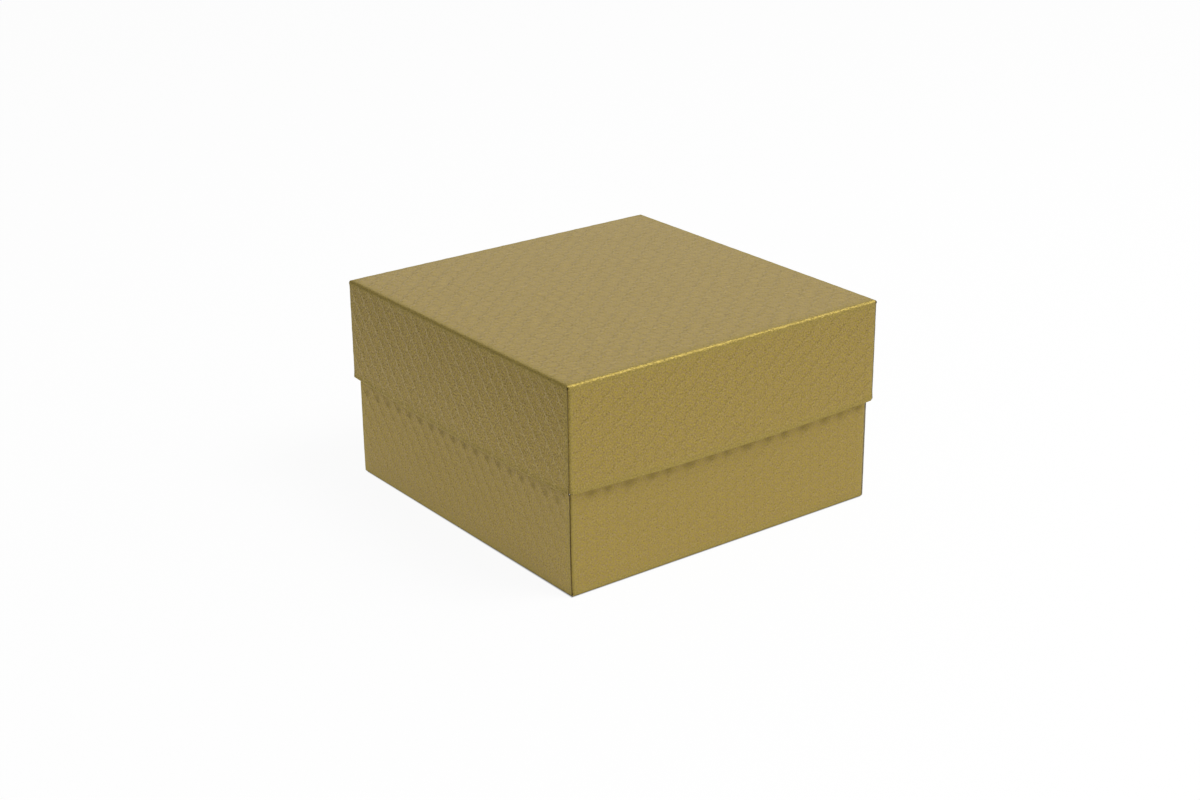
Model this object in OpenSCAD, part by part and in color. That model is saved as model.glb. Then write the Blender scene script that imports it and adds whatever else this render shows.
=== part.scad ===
// Square favor box: a shallow lid that telescopes over a taller base.
// Each half is one sheet of card, creased and folded into a tray. The tray has
// a main panel, four outer walls, four inner walls rolled over at the rim, and
// four corner flaps held between the outer and inner walls of the two sides.

/* [Box] */
// Outside width of the square lid
lid_side = 100; // [70:1:180]
// Height of the closed box
box_h = 56.2; // [42:0.1:90]
// Height of the lid's walls, from its top to its rim
lid_h = 28.1; // [15:0.1:38]
// Step from the lid's wall in to the base's wall
lid_step = 1.25; // [1.2:0.05:3]

/* [Card] */
// Thickness of the card
card = 0.3; // [0.2:0.01:0.32]
// Air between two layers of folded card
ply_gap = 0.05; // [0.04:0.01:0.06]
// Outside radius of the folds around the main panel
fold_r = 0.8; // [0.6:0.05:1]
// Outside radius of the upright folds at the corners
corner_r = 0.9; // [0.6:0.05:1.1]

/* [Cut ends] */
// Distance from a corner to the cut end of a side wall, when the wall is centred
end_cut = 0.6; // [0.5:0.05:0.8]
// How far folding has left each side wall off centre
side_drift = 0.25; // [0:0.05:0.4]

/* [Corner flaps] */
// Reach of a corner flap along the side wall, from the corner
flap_reach = 26; // [12:1:28]
// Taper of each long edge of a flap towards its free end
flap_taper = 3; // [0:0.5:5]

/* [Hidden] */
$fn = 64;
gold_card = [0.63, 0.55, 0.33];
gold_lining = [0.72, 0.64, 0.42];
ivory_reverse = [0.9, 0.87, 0.78];
// Clearance under the lid's top when it rests on the base's rim
seat_gap = 0.1;
base_side = lid_side - 2 * lid_step;
base_h = box_h - card - seat_gap;
// Rim of a front or back wall: the card is hemmed flat on itself
end_rim_r = card + ply_gap / 2;
// Rim of a side wall: the card rolls over the corner flaps
side_rim_r = (3 * card + 2 * ply_gap) / 2;
// Where the upright fold of a front or back wall meets its flat stretch
corner_run = card + ply_gap + corner_r;
// Play between the end of an inner wall and the upright fold next to it
end_play = 0.25;
side_play = 0.1;
// Narrowing of an inner wall at each end towards its free edge
inner_taper = 1.2;
// Play of a corner flap at the fold of the main panel and under the rolled rim
flap_fold_play = 0.3;
flap_rim_play = 0.1;
// Height over which a side wall widens to the corner at its fold
root_flare = 0.6;
// Quarter turns that carry the front of the tray to each of its sides
FRONT = 0;
LEFT = 1;
BACK = 2;
RIGHT = 3;

// Ring of card of the given outside radius, cut to the box from low to high
module bent_card(r, low, high) {
    intersection() {
        difference() {
            circle(r);
            circle(r - card);
        }
        translate(low) square(high - low);
    }
}

// Carries a shape built at the front of the tray to another side
module at_side(turn) {
    rotate([0, 0, -90 * turn]) children();
}

// Sweeps a section along the front edge: x is the depth inwards, y is the height
module along_front(side, run) {
    translate([0, -side / 2, 0])
        rotate([90, 0, 90])
            linear_extrude(run, center = true)
                children();
}

// Stands a flat outline of card up, facing the front: x is along the wall, y is the height
module upright_card(side, depth) {
    translate([0, -side / 2 + depth + card, 0])
        rotate([90, 0, 0])
            linear_extrude(card)
                children();
}

// Main panel of a tray, between its four folds
module main_panel(side) {
    flat = side - 2 * fold_r;
    translate([-flat / 2, -flat / 2, 0]) cube([flat, flat, card]);
}

// Quarter-round fold from the main panel up into the front wall, mitred at both ends
module panel_fold(side) {
    half = side / 2;
    intersection() {
        along_front(side, side)
            translate([fold_r, fold_r])
                bent_card(fold_r, [-fold_r, -fold_r], [0, 0]);
        linear_extrude(fold_r)
            polygon([
                [-half, -half],
                [half, -half],
                [half - fold_r, -half + fold_r],
                [-half + fold_r, -half + fold_r]
            ]);
    }
}

// Height of a corner flap's upper edge, which the side wall's rim rolls over
function flap_top(tall) = tall - side_rim_r - flap_rim_play;

// Front or back wall: fold, flat wall, hemmed rim, and the upright fold at each end
module end_outer_wall(side, tall) {
    panel_fold(side);
    along_front(side, side - 2 * corner_run) {
        translate([0, fold_r]) square([card, tall - end_rim_r - fold_r]);
        translate([end_rim_r, tall - end_rim_r])
            intersection() {
                circle(end_rim_r);
                translate([-end_rim_r, 0]) square([2 * end_rim_r, end_rim_r]);
            }
    }
    for (flip = [0, 1])
        mirror([flip, 0, 0])
            translate([-side / 2 + corner_run, -side / 2 + corner_r, fold_r])
                linear_extrude(flap_top(tall) - fold_r)
                    bent_card(corner_r, [-corner_r, -corner_r], [0, 0]);
}

// Side wall: fold, flat wall with its two cut ends, and a rim rolled over the flaps
module side_outer_wall(side, tall, drift) {
    run = side - 2 * end_cut;
    panel_fold(side);
    translate([drift, 0, 0])
        along_front(side, run) {
            translate([0, fold_r]) square([card, tall - side_rim_r - fold_r]);
            translate([side_rim_r, tall - side_rim_r])
                bent_card(side_rim_r, [-side_rim_r, 0], [side_rim_r, side_rim_r]);
        }
    upright_card(side, 0)
        polygon([
            [-side / 2, fold_r],
            [side / 2, fold_r],
            [run / 2 + drift, fold_r + root_flare],
            [-run / 2 + drift, fold_r + root_flare]
        ]);
}

// Flat inner wall that hangs from the rim, at the given depth behind the outer face
module inner_wall(side, tall, depth, rim_r, run) {
    upright_card(side, depth)
        polygon([
            [-run / 2 + inner_taper, fold_r],
            [run / 2 - inner_taper, fold_r],
            [run / 2, fold_r + inner_taper],
            [run / 2, tall - rim_r],
            [-run / 2, tall - rim_r],
            [-run / 2, fold_r + inner_taper]
        ]);
}

// Inner wall of the front or back, which lies against the outer wall
module end_inner_wall(side, tall) {
    run = side - 2 * (corner_run + end_play);
    inner_wall(side, tall, card + ply_gap, end_rim_r, run);
}

// Inner wall of a side, which leaves room for the corner flaps
module side_inner_wall(side, tall) {
    run = side - 2 * (corner_r + side_play);
    inner_wall(side, tall, 2 * (card + ply_gap), side_rim_r, run);
}

// Flap from the left end of the front wall, turned back behind the left wall
module corner_flap(side, tall) {
    low = fold_r + flap_fold_play;
    high = flap_top(tall);
    at_side(LEFT)
        upright_card(side, card + ply_gap)
            polygon([
                [side / 2 - corner_r, low],
                [side / 2 - corner_r, high],
                [side / 2 - flap_reach, high - flap_taper],
                [side / 2 - flap_reach, low + flap_taper]
            ]);
}

// The base stands on its main panel, and its side walls have drifted away from
// the front left corner
module base_outer_end(turn) {
    color(gold_card) at_side(turn) end_outer_wall(base_side, base_h);
}

module base_outer_side(turn) {
    color(gold_card) at_side(turn) side_outer_wall(base_side, base_h, -side_drift);
}

module base_inner_end(turn) {
    color(gold_lining) at_side(turn) end_inner_wall(base_side, base_h);
}

module base_inner_side(turn) {
    color(gold_lining) at_side(turn) side_inner_wall(base_side, base_h);
}

module base_flap(across, along) {
    color(ivory_reverse) mirror([across, 0, 0]) mirror([0, along, 0]) corner_flap(base_side, base_h);
}

// The lid is the same tray upside down, and its side walls have drifted towards
// the front left corner
module turned_over() {
    translate([0, 0, box_h]) mirror([0, 0, 1]) children();
}

module lid_outer_end(turn) {
    color(gold_card) turned_over() at_side(turn) end_outer_wall(lid_side, lid_h);
}

module lid_outer_side(turn) {
    color(gold_card) turned_over() at_side(turn) side_outer_wall(lid_side, lid_h, side_drift);
}

module lid_inner_end(turn) {
    color(gold_lining) turned_over() at_side(turn) end_inner_wall(lid_side, lid_h);
}

module lid_inner_side(turn) {
    color(gold_lining) turned_over() at_side(turn) side_inner_wall(lid_side, lid_h);
}

module lid_flap(across, along) {
    color(ivory_reverse)
        turned_over()
            mirror([across, 0, 0]) mirror([0, along, 0]) corner_flap(lid_side, lid_h);
}

module base_floor() { color(gold_card) main_panel(base_side); }
module base_front_outer_wall() { base_outer_end(FRONT); }
module base_back_outer_wall() { base_outer_end(BACK); }
module base_left_outer_wall() { base_outer_side(LEFT); }
module base_right_outer_wall() { base_outer_side(RIGHT); }
module base_front_inner_wall() { base_inner_end(FRONT); }
module base_back_inner_wall() { base_inner_end(BACK); }
module base_left_inner_wall() { base_inner_side(LEFT); }
module base_right_inner_wall() { base_inner_side(RIGHT); }
module base_front_left_corner_flap() { base_flap(0, 0); }
module base_front_right_corner_flap() { base_flap(1, 0); }
module base_back_left_corner_flap() { base_flap(0, 1); }
module base_back_right_corner_flap() { base_flap(1, 1); }

module lid_top() { color(gold_card) turned_over() main_panel(lid_side); }
module lid_front_outer_wall() { lid_outer_end(FRONT); }
module lid_back_outer_wall() { lid_outer_end(BACK); }
module lid_left_outer_wall() { lid_outer_side(LEFT); }
module lid_right_outer_wall() { lid_outer_side(RIGHT); }
module lid_front_inner_wall() { lid_inner_end(FRONT); }
module lid_back_inner_wall() { lid_inner_end(BACK); }
module lid_left_inner_wall() { lid_inner_side(LEFT); }
module lid_right_inner_wall() { lid_inner_side(RIGHT); }
module lid_front_left_corner_flap() { lid_flap(0, 0); }
module lid_front_right_corner_flap() { lid_flap(1, 0); }
module lid_back_left_corner_flap() { lid_flap(0, 1); }
module lid_back_right_corner_flap() { lid_flap(1, 1); }

base_floor();
base_front_outer_wall();
base_back_outer_wall();
base_left_outer_wall();
base_right_outer_wall();
base_front_inner_wall();
base_back_inner_wall();
base_left_inner_wall();
base_right_inner_wall();
base_front_left_corner_flap();
base_front_right_corner_flap();
base_back_left_corner_flap();
base_back_right_corner_flap();
lid_top();
lid_front_outer_wall();
lid_back_outer_wall();
lid_left_outer_wall();
lid_right_outer_wall();
lid_front_inner_wall();
lid_back_inner_wall();
lid_left_inner_wall();
lid_right_inner_wall();
lid_front_left_corner_flap();
lid_front_right_corner_flap();
lid_back_left_corner_flap();
lid_back_right_corner_flap();
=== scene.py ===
"""Looks of a square favor box, folded from two sheets of embossed gold card.

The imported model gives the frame: a tray for the base, and a second tray turned over on it
as the lid. Every panel here is a stretch of one of those two sheets. A point of the flat
sheet is carried over the folds by one formula, and the embossing is a function of the flat
sheet's own coordinates, so the pattern and the shading run on across each fold.

Lengths are in millimetres until a mesh is made, and the meshes are in metres.
"""

import logging
import math
from dataclasses import dataclass
from enum import Enum
from functools import partial, reduce
from typing import NamedTuple

import bpy
import numpy as np
from mathutils import Matrix, Vector


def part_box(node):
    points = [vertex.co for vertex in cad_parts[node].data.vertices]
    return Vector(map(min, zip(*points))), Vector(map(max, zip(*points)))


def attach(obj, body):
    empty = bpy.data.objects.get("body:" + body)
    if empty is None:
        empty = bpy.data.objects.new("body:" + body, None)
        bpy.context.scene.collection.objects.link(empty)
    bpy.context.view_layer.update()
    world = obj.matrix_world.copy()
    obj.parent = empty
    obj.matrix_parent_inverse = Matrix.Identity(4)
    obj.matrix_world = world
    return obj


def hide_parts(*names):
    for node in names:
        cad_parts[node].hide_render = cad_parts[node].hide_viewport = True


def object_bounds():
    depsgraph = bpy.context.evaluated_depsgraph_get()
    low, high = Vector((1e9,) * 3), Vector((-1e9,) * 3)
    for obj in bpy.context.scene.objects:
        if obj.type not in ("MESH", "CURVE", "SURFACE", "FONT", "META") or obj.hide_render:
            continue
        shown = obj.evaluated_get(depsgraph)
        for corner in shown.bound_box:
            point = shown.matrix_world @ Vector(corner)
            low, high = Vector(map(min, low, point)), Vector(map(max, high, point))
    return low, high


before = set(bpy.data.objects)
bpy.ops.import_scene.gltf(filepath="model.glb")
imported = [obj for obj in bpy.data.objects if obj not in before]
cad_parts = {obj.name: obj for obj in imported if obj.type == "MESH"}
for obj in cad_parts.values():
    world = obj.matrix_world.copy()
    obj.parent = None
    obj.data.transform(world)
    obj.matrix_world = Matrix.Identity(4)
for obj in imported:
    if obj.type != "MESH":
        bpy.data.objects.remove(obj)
CAD_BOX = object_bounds()

MM = 0.001
QUARTER = math.pi / 2
CYCLE = 2 * math.pi
SHEET_ATTRIBUTE = "sheet"
NOISE_SPAN = (0.3, 0.7)
WHITE = (1.0, 1.0, 1.0, 1.0)

# Short names of types: a grid of numbers, two such grids, two numbers, and three numbers.
Array = np.ndarray
Arrays = tuple[Array, Array]
Socket = bpy.types.NodeSocket
Pair = tuple[float, float]
Triple = tuple[float, float, float]

logger = logging.getLogger("favor_box")


class Side(Enum):
    """Sides of a tray, as quarter turns that carry the front to each of them."""

    FRONT = 0
    LEFT = 1
    BACK = 2
    RIGHT = 3

    @property
    def is_end(self) -> bool:
        """Whether this side has the upright folds and the hemmed rim."""
        return self in (Side.FRONT, Side.BACK)


class Skin(Enum):
    """Material slots of a piece of card."""

    PRINTED = 0
    REVERSE = 1
    CUT = 2


def smooth(value: Array) -> Array:
    """Smooth step, from 0 at value 0 to 1 at value 1.

    Args:
        value: Any array.

    Returns:
        The array 3 t^2 - 2 t^3, with t the value held between 0 and 1.
    """
    held = np.clip(value, 0.0, 1.0)
    return held * held * (3.0 - 2.0 * held)


def bell(distance: Array, width: Array | float) -> Array:
    """Bell-shaped curve exp(-(distance / width)^2)."""
    return np.exp(-((distance / width) ** 2))


def stations(stride: int, *spans: Triple) -> Array:
    """Places along a line, closer together in some spans than in others.

    Args:
        stride: Every span gets a multiple of this many steps.
        *spans: Start, end and wanted step of each span, end to end.

    Returns:
        The places in order, with the shared ends once.
    """
    places = [np.array([spans[0][0]])]
    for start, end, step in spans:
        count = stride * max(1, math.ceil(abs(end - start) / step / stride))
        places.append(np.linspace(start, end, count + 1)[1:])
    return np.concatenate(places)


@dataclass(frozen=True)
class Card:
    """The card of both sheets, and how it folds."""

    thickness: float = 0.3
    ply_gap: float = 0.05
    fold_radius: float = 0.8
    corner_radius: float = 0.9

    @property
    def corner_run(self) -> float:
        """Distance from a corner to where the end wall starts to turn."""
        return self.thickness + self.ply_gap + self.corner_radius

    @property
    def corner_arc(self) -> float:
        """Length of card in an upright fold."""
        return self.corner_radius * QUARTER

    def rim_radius(self, side: Side) -> float:
        """Outside radius of a wall's rim: a hem at the ends, a roll over the flaps at the sides."""
        hem = self.thickness + self.ply_gap / 2
        return hem if side.is_end else (3 * self.thickness + 2 * self.ply_gap) / 2


@dataclass(frozen=True)
class Embossing:
    """A diamond lattice of raised lines, with a domed scale and a chain of pits in each diamond.

    Coordinates p and q are in the plane of the sheet, as seen on its printed face.
    """

    pitch_p: float = 6.35
    pitch_q: float = 5.2
    ridge_height: float = 0.115
    ridge_swing: float = 0.30
    ridge_width: float = 0.40
    ridge_skew: float = 2.4
    cross_height: float = 0.028
    cross_width: float = 0.34
    weave: float = 0.050
    scale_radius: float = 1.75
    scale_power: int = 4
    scale_height: float = 0.042
    pit_depth: float = 0.030
    pit_width: float = 0.42
    pits_per_side: float = 3.5
    hatch_height: float = 0.009
    hatch_per_line: float = 3.0
    wave_height: float = 0.030
    wave_lengths: Pair = (41.0, 29.0)
    wave_phases: Pair = (0.7, 0.4)

    @property
    def line_spacing(self) -> float:
        """Distance between neighbouring raised lines of one family."""
        return 1.0 / math.hypot(1.0 / self.pitch_p, 1.0 / self.pitch_q)

    def ridge(self, phase: Array, width: float, skew: float = 1.0) -> Array:
        """Bell-shaped lines where the phase is half way between two whole numbers.

        Args:
            phase: Count of lines passed, as a real number.
            width: Half width of a line's steep flank.
            skew: Width of the flank after the line, as a multiple of the one before it.

        Returns:
            exp(-(distance / width)^2), with distance the way to the nearest line.
        """
        distance = (phase % 1.0 - 0.5) * self.line_spacing
        return bell(distance, np.where(distance > 0, width * skew, width))

    @property
    def headroom(self) -> float:
        """Height of the highest point over the sheet's own plane, where two lines cross."""
        return self.ridge_height + self.cross_height + self.wave_height

    def cell(self, p: Array, q: Array) -> Array:
        """Distance of a point from the middle of its diamond of the lattice.

        With u and v the ways in pitches along both families, to the nearest whole number, the
        point is (u + v) / 2 and (u - v) / 2 pitches from the middle along p and q.

        Args:
            p: Sheet coordinate along the first pitch.
            q: Sheet coordinate along the second pitch.

        Returns:
            The distance in millimetres.
        """
        across = p / self.pitch_p
        along = q / self.pitch_q
        u = across + along - np.round(across + along)
        v = across - along - np.round(across - along)
        return np.hypot((u + v) / 2 * self.pitch_p, (u - v) / 2 * self.pitch_q)

    def relief(self, p: Array, q: Array, strength: Array) -> Array:
        """Height of the printed face over the plane of the sheet.

        The two families of lines are p/P + q/Q and p/P - q/Q at half numbers, where P and Q
        are the pitches. The main family has one steep flank and one gentle one, weaves a
        little, and is lower half way between its crossings. Each diamond holds a low dome
        exp(-(radius / R)^4), and a chain of pits runs half way between the main lines. A fine
        hatch runs along the other family, and long shallow waves stand for card that isn't
        quite flat.

        Args:
            p: Sheet coordinate along the first pitch.
            q: Sheet coordinate along the second pitch.
            strength: Share of the relief that is left, 1 away from all folds.

        Returns:
            The height, which is nowhere above zero.
        """
        across = p / self.pitch_p
        along = q / self.pitch_q
        cross = across + along
        main = across - along
        main = main + self.weave * np.sin(CYCLE * cross)
        dome = np.exp(-((self.cell(p, q) / self.scale_radius) ** self.scale_power))
        chain = self.ridge(main + 0.5, self.pit_width)
        chain = chain * (0.5 + 0.5 * np.cos(CYCLE * self.pits_per_side * cross))
        hatch = np.cos(CYCLE * self.hatch_per_line * cross) * np.cos(math.pi * main) ** 2
        wave = np.sin(CYCLE * p / self.wave_lengths[0] + self.wave_phases[0])
        wave = wave * np.cos(CYCLE * q / self.wave_lengths[1] + self.wave_phases[1])
        swing = 1 - self.ridge_swing * (0.5 + 0.5 * np.cos(CYCLE * cross))
        height = self.ridge_height * self.ridge(main, self.ridge_width, self.ridge_skew) * swing
        height = height + self.cross_height * self.ridge(cross, self.cross_width)
        height = height + self.scale_height * (dome - 0.5) - self.pit_depth * chain
        height = height + self.hatch_height * hatch + self.wave_height * wave
        return height * strength - self.headroom


@dataclass(frozen=True)
class RimDintsAndShade:
    """Where the lid's rim sits on the base's walls: dints in the card, and painted shade just under the
    rim, as a line and as blots.
    """

    rim_level: float
    rim_bow: float
    half: float
    embossing: Embossing
    shift: Pair = (4.15, 2.2)
    radius: float = 0.95
    depth: float = 0.06
    onset: float = 0.9
    reach: float = 4.6
    # How dark the painted shade over a dint is.
    dint_shade_share: float = 0.90
    # The painted shade line just under the lid's rim: its drop, reach and darkness.
    shade_line_drop: float = 1.3
    shade_line_reach: float = 0.9
    shade_line_share: float = 0.26
    # Blots of painted shade under the line on the end walls.
    shade_blot_place: float = 2.5
    shade_blot_swing: float = 0.75
    shade_blot_drop: float = 2.2
    shade_blot_reach: float = 0.9
    shade_blot_share: float = 0.20
    shade_blot_wobble: float = 0.7
    wobble_length: float = 19.0

    def below(self, height: Array, run: Array) -> Array:
        """Way down from the lid's rim, which is bowed, to a point of a wall."""
        return self.rim_level - self.rim_bow * (1 - (run / self.half) ** 2) - height

    def dints(self, p: Array, q: Array, below: Array) -> Array:
        """How far a point lies in a dint.

        Args:
            p: First sheet coordinate.
            q: Second sheet coordinate.
            below: Way down from the lid's rim.

        Returns:
            exp(-(distance / radius)^2) about the points of the lattice, times a share that
            sets in at the rim's level and fades out downwards.
        """
        distance = self.embossing.cell(p - self.shift[0], q - self.shift[1])
        level = smooth(below / self.onset) * bell(below, self.reach)
        return bell(distance, self.radius) * level

    def line(self, below: Array) -> Array:
        """Painted shade along a line just under the lid's rim."""
        return self.shade_line_share * bell(below - self.shade_line_drop, self.shade_line_reach)

    def shade_blots(self, p: Array, below: Array) -> Array:
        """Painted shade under the lid's rim on an end wall.

        Args:
            p: First sheet coordinate.
            below: Way down from the lid's rim.

        Returns:
            The painted shade line times a wave of one embossing pitch that wobbles, and a blot of painted
            shade under each crest of the wave.
        """
        turns = (p - self.shade_blot_place) / self.embossing.pitch_p
        wobble = self.shade_blot_wobble * np.sin(CYCLE * p / self.wobble_length)
        wave = np.cos(CYCLE * turns + wobble)
        uneven = self.line(below) * (1 + self.shade_blot_swing * wave)
        under = self.shade_blot_share * bell(below - self.shade_blot_drop, self.shade_blot_reach)
        return uneven + under * np.clip(wave, 0.0, 1.0)


@dataclass(frozen=True)
class Tray:
    """One sheet of card, creased and folded into a tray.

    Depth is measured inwards from the outer plane of a wall, height from the printed face
    of the main panel towards the rim, and run along a wall from its middle.
    """

    body: str
    main_panel: str
    half: float
    tall: float
    level: float
    upward: float
    drift: float
    card: Card
    embossing: Embossing
    sheet_shift: Pair
    end_cut: float = 0.5
    root_flare: float = 0.6
    flare_start: float = 0.25
    inner_taper: float = 1.2
    end_play: float = 0.25
    side_play: float = 0.1
    flap_reach: float = 26.0
    flap_taper: float = 3.0
    flap_fold_play: float = 0.3
    flap_rim_play: float = 0.1
    tuck: float = 0.0
    tuck_height: float = 13.0
    tuck_power: float = 1.7
    tuck_reach: Pair = (1.0, 5.0)
    tuck_ease: float = 0.8
    iron_loss: float = 0.75
    iron_reach: float = 1.6
    shoulder: float = 0.12
    hem_loss: float = 0.95
    hem_reach: float = 1.5
    rim_bow: float = 0.0
    waist: float = 0.0
    waist_height: float = 22.0
    # Dints under the lid's rim, and the painted shade there.
    rim_dints_and_shade: RimDintsAndShade | None = None

    @property
    def flat_half(self) -> float:
        """Half the side of the flat main panel."""
        return self.half - self.card.fold_radius

    @property
    def fold_length(self) -> float:
        """Length of card in the fold between the main panel and a wall."""
        return self.card.fold_radius * QUARTER

    @property
    def flap_top(self) -> float:
        """Height of a corner flap's edge under the rolled rim."""
        return self.tall - self.card.rim_radius(Side.LEFT) - self.flap_rim_play

    def ironed(self, way: Array) -> Array:
        """Share of the embossing that a fold leaves, at a way along the sheet from its start."""
        return 1 - self.iron_loss * bell(way - self.fold_length / 2, self.iron_reach)

    def wall_length(self, side: Side) -> float:
        """Length of the flat stretch of a wall, between its fold and its rim."""
        return self.tall - self.card.rim_radius(side) - self.card.fold_radius

    def rim_end(self, side: Side) -> float:
        """Way along the sheet from the main panel to the inner end of the rim."""
        return self.fold_length + self.wall_length(side) + self.card.rim_radius(side) * math.pi

    def rim_middle(self, side: Side) -> float:
        """Way along the sheet from the main panel to the top of the rim."""
        return self.rim_end(side) - self.card.rim_radius(side) * QUARTER

    def profile(self, side: Side, way: Array, lift: Array) -> Arrays:
        """Section through a wall: panel, quarter-round fold, wall, half-round rim, inner wall.

        The card turns by way / radius along each fold, and stays straight in between, so
        depth and height are the sums of the straight and the turned stretches. The lift goes
        along the normal, whose angle is the sum of both turns.

        Args:
            side: Which wall.
            way: Distance along the sheet from the edge of the main panel.
            lift: Distance off the printed face, outwards.

        Returns:
            Depth and height arrays.
        """
        fold = self.card.fold_radius
        rim = self.card.rim_radius(side)
        flat = self.wall_length(side)
        turn = np.clip(way / fold, 0.0, QUARTER)
        straight = np.clip(way - self.fold_length, 0.0, flat)
        roll = np.clip((way - self.fold_length - flat) / rim, 0.0, math.pi)
        back = np.maximum(way - self.rim_end(side), 0.0)
        before = np.minimum(way, 0.0)
        depth = fold * (1 - np.sin(turn)) - before + rim * (1 - np.cos(roll))
        height = fold * (1 - np.cos(turn)) + straight + rim * np.sin(roll) - back
        normal = turn + roll
        return depth - lift * np.sin(normal), height - lift * np.cos(normal)

    def wrap(self, run: Array, depth: Array, height: Array) -> Arrays:
        """Turns the ends of an end wall round the upright folds.

        Past the start of the fold the run becomes an angle, run / radius, up to a quarter
        turn, and then goes on straight behind the side wall. The turn fades in above the
        fold of the main panel, where the two creases of the sheet meet.

        Args:
            run: Distance along the flat wall from its middle.
            depth: Depth inwards of each point.
            height: Height of each point.

        Returns:
            The turned run and depth.
        """
        start = self.half - self.card.corner_run
        radius = self.card.corner_radius
        excess = np.maximum(np.abs(run) - start, 0.0)
        angle = np.minimum(excess / radius, QUARTER)
        beyond = np.maximum(excess - radius * QUARTER, 0.0)
        turned_run = start + (radius - depth) * np.sin(angle)
        turned_depth = radius - (radius - depth) * np.cos(angle) + beyond
        fade_in = smooth((height - self.flare_start * self.card.fold_radius) / self.root_flare)
        share = np.where(excess > 0, fade_in, 0.0)
        length = np.abs(run) + share * (turned_run - np.abs(run))
        return np.sign(run) * length, depth + share * (turned_depth - depth)

    def place(self, x: Array, y: Array, height: Array) -> Array:
        """Puts points of the tray into the row frame.

        The left side of a tucked tray leans in towards its fold: x grows by
        tuck (1 - height / tuck_height)^power, which fades out inwards from the wall and
        eases off towards the back. Bowed rims hang lower in the middle: the height grows by
        bow (1 - (run / half)^2) (height / tall)^2, with the run from the wall's middle. A
        waist brings the walls in by waist (1 - (run / half)^2), growing up to a certain height.

        Args:
            x: To the right.
            y: To the back.
            height: From the main panel's printed face.

        Returns:
            Points with x, y and z in the last axis.
        """
        if self.tuck:
            low = np.clip(1 - height / self.tuck_height, 0.0, 1.0) ** self.tuck_power
            near, far = self.tuck_reach
            fade = smooth((-x - (self.half - far)) / (far - near))
            ease = 1 - self.tuck_ease * smooth((y + self.half) / (2 * self.half))
            x = x + self.tuck * ease * low * fade
        run = np.minimum(np.abs(x), np.abs(y)) / self.half
        middle = 1 - np.minimum(run, 1.0) ** 2
        if self.rim_bow:
            rise = np.clip(height / self.tall, 0.0, 1.0)
            height = height + self.rim_bow * middle * rise**2
        if self.waist:
            inwards = self.waist * middle * smooth(height / self.waist_height)
            sideways = np.abs(x) > np.abs(y)
            x, y = (
                np.where(sideways, x - np.sign(x) * inwards, x),
                np.where(sideways, y, y - np.sign(y) * inwards),
            )
        return np.stack([x, y, self.level + self.upward * height], axis=-1)

    def wall_point(self, side: Side, way: Array, run: Array, lift: Array) -> Array:
        """Carries a point of the flat sheet to its place on a wall, rim, inner wall or flap.

        Args:
            side: Which wall.
            way: Distance along the sheet from the edge of the main panel.
            run: Distance along the wall from its middle.
            lift: Distance off the printed face.

        Returns:
            Points in the row frame.
        """
        depth, height = self.profile(side, way, lift)
        if side.is_end:
            run, depth = self.wrap(run, depth, height)
        x, y = self.turned(side, run, depth - self.half)
        return self.place(x, y, height)

    @staticmethod
    def turned(side: Side, x: Array, y: Array) -> Arrays:
        """Carries a point at the front to another side, by quarter turns to the left."""
        return [(x, y), (y, -x), (-x, -y), (-y, x)][side.value]

    def sheet_at(self, side: Side, way: Array, run: Array) -> Arrays:
        """Coordinates on the flat sheet of a point on a wall, as seen on the printed face."""
        x, y = self.turned(side, run, -self.flat_half - way)
        return self.face_view(x, y)

    def face_view(self, x: Array, y: Array) -> Arrays:
        """Turns tray coordinates into sheet coordinates, seen from the printed side."""
        return x + self.sheet_shift[0], -self.upward * y + self.sheet_shift[1]


class Face(NamedTuple):
    """One face of a piece of card, on a grid; its sheet holds coordinates, and the creases and painted
    shade.
    """

    points: Array
    normals: Array
    sheet: Array

    def numbered(self, start: int) -> Array:
        """Vertex numbers on the grid, counted from a start."""
        rows, columns = self.points.shape[:2]
        return start + np.arange(rows * columns).reshape(rows, columns)


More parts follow.
